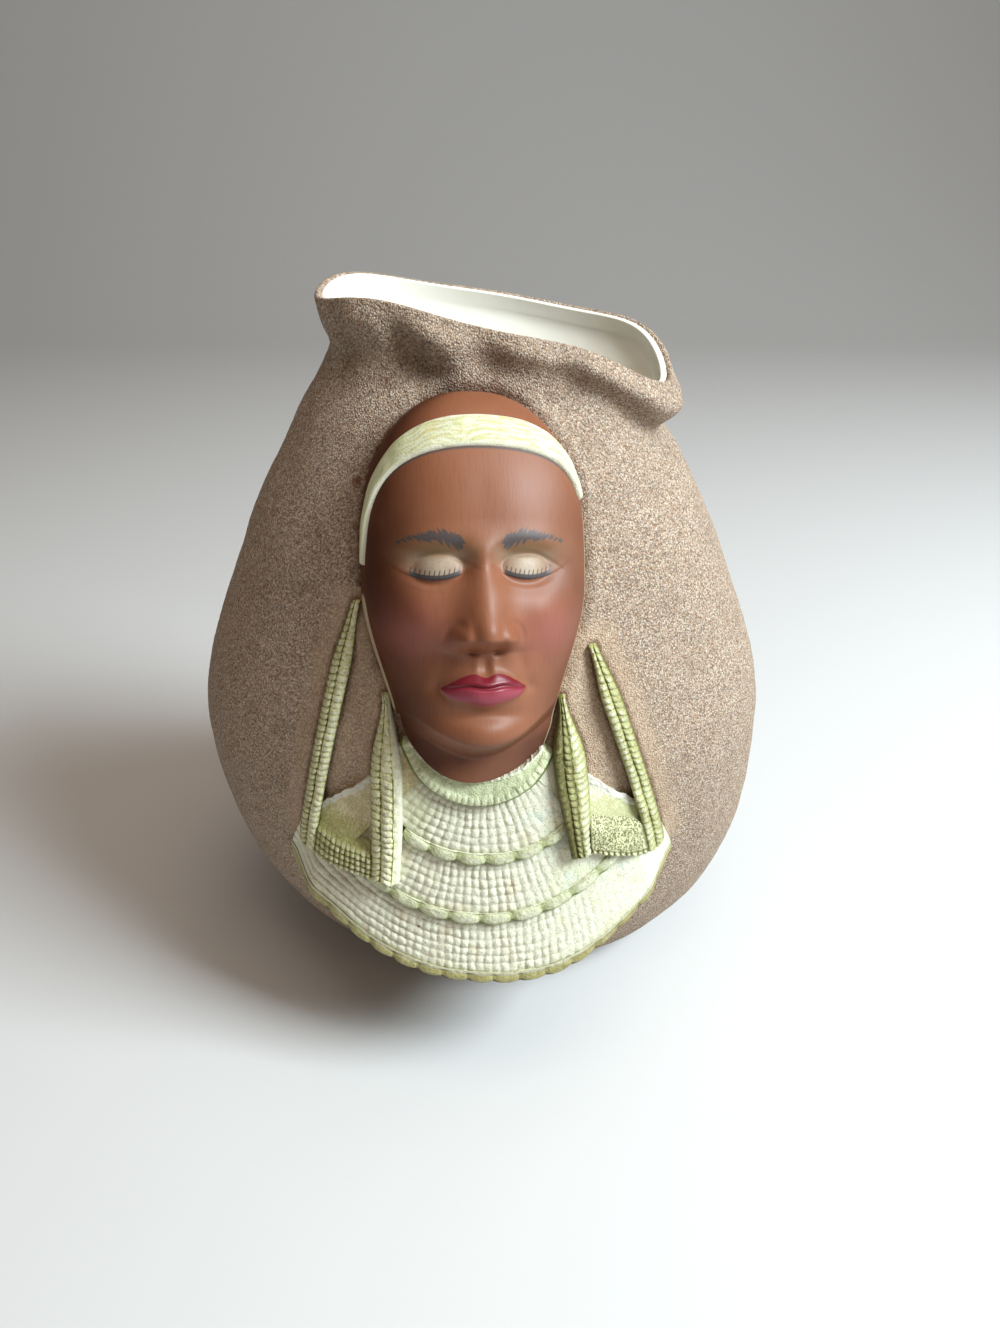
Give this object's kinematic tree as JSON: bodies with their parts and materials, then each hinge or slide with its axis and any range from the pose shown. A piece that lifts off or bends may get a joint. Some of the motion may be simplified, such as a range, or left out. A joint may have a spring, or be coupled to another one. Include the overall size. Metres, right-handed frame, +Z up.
{
  "type": "face vase",
  "caption": "Hollow oval flower vase with a slanted wavy mouth, a sand-textured coat and a painted relief head with headband, beaded collar and long bead earrings on its front",
  "frame": {"origin": "middle of the flat foot's underside, on the ground, below the middle of the mouth's depth", "axes": "+Z up from the foot to the mouth, -Y out of the front where the face looks, +X to the right in front view"},
  "size_m": [0.1871, 0.1638, 0.2201],
  "materials": {
    "ceramic_body": "glossy ivory glaze inside and on the lip",
    "sand_coat": "matt coat of coarse beige and brown sand grains",
    "face_mask": "satin terracotta-brown paint with painted brows, lids, lashes and lips",
    "headband": "dry-brushed pale cream and yellow-green paint",
    "neck_band": "pale green paint with darker ribs",
    "collar_upper_tier": "cream paint over woven bead relief",
    "collar_upper_trim": "pale green painted bead trim",
    "collar_middle_tier": "cream paint over woven bead relief",
    "collar_middle_trim": "pale green painted bead trim",
    "collar_lower_tier": "cream paint over woven bead relief",
    "collar_edge_braid": "ochre-olive painted braid",
    "shoulder_left": "cream paint shaded olive-brown",
    "shoulder_right": "cream paint",
    "earring_left_outer_strap": "olive painted bead relief",
    "earring_left_inner_strap": "olive painted bead relief",
    "earring_left_bar": "olive painted bead relief",
    "earring_right_outer_strap": "olive painted bead relief",
    "earring_right_inner_strap": "olive painted bead relief",
    "earring_right_bar": "olive painted bead relief"
  },
  "bodies": {
    "root": {"ceramic_body": "ceramic_body", "sand_coat": "sand_coat", "face_mask": "face_mask", "headband": "headband", "neck_band": "neck_band", "collar_upper_tier": "collar_upper_tier", "collar_upper_trim": "collar_upper_trim", "collar_middle_tier": "collar_middle_tier", "collar_middle_trim": "collar_middle_trim", "collar_lower_tier": "collar_lower_tier", "collar_edge_braid": "collar_edge_braid", "shoulder_left": "shoulder_left", "shoulder_right": "shoulder_right", "earring_left_outer_strap": "earring_left_outer_strap", "earring_left_inner_strap": "earring_left_inner_strap", "earring_left_bar": "earring_left_bar", "earring_right_outer_strap": "earring_right_outer_strap", "earring_right_inner_strap": "earring_right_inner_strap", "earring_right_bar": "earring_right_bar"}
  },
  "joints": []
}
